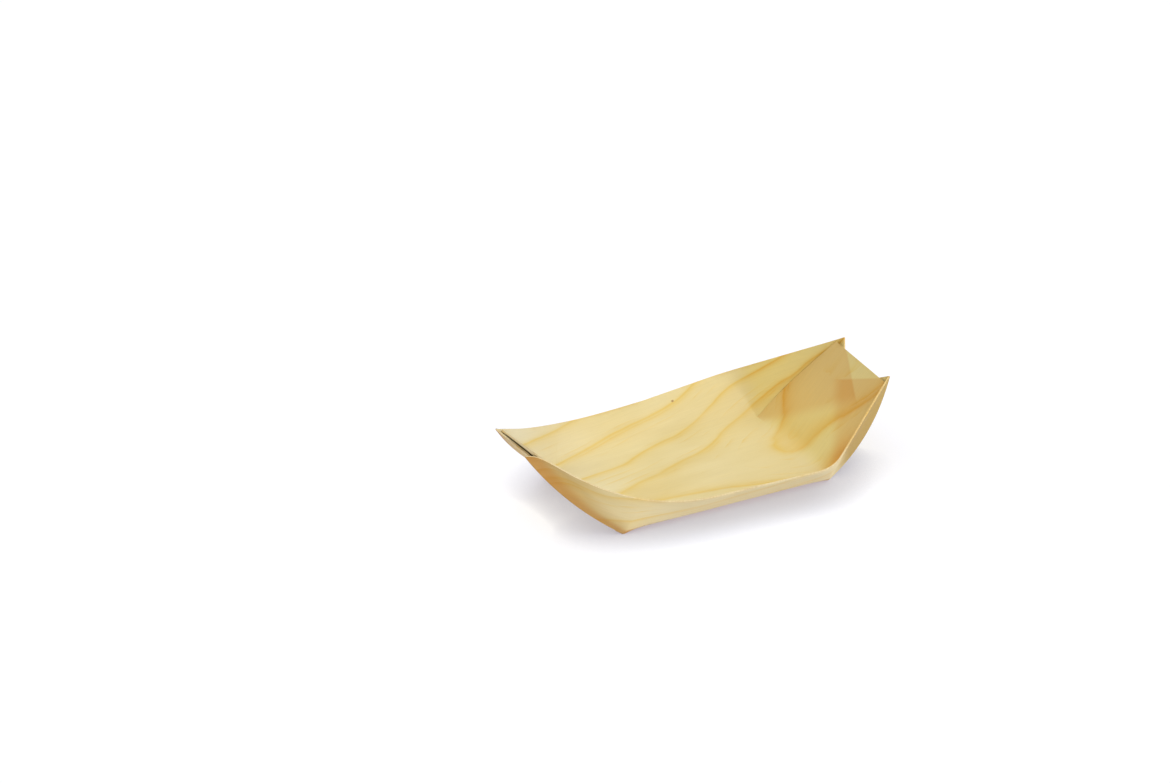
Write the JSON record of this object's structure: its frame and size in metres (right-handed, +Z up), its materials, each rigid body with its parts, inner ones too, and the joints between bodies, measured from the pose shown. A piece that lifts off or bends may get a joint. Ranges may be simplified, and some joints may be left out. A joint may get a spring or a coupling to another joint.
{
  "type": "wooden snack boat",
  "caption": "Shallow boat-shaped serving tray folded from a sheet of pine veneer, with flared sides, upturned ends and pointed horns.",
  "frame": {"origin": "centre of the boat on the underside of its flat base", "axes": "+X along the boat towards the end with the wider-spread horns, +Y across the boat, +Z up"},
  "size_m": [0.172, 0.0948, 0.0394],
  "materials": {
    "veneer_sheet": "smooth bare pine veneer",
    "open_end_inner_glue": "set glue",
    "open_end_outer_glue": "set glue",
    "pinched_end_inner_glue": "set glue",
    "pinched_end_outer_glue": "set glue"
  },
  "bodies": {
    "root": {"veneer_sheet": "veneer_sheet", "open_end_inner_glue": "open_end_inner_glue", "open_end_outer_glue": "open_end_outer_glue", "pinched_end_inner_glue": "pinched_end_inner_glue", "pinched_end_outer_glue": "pinched_end_outer_glue"}
  },
  "joints": []
}
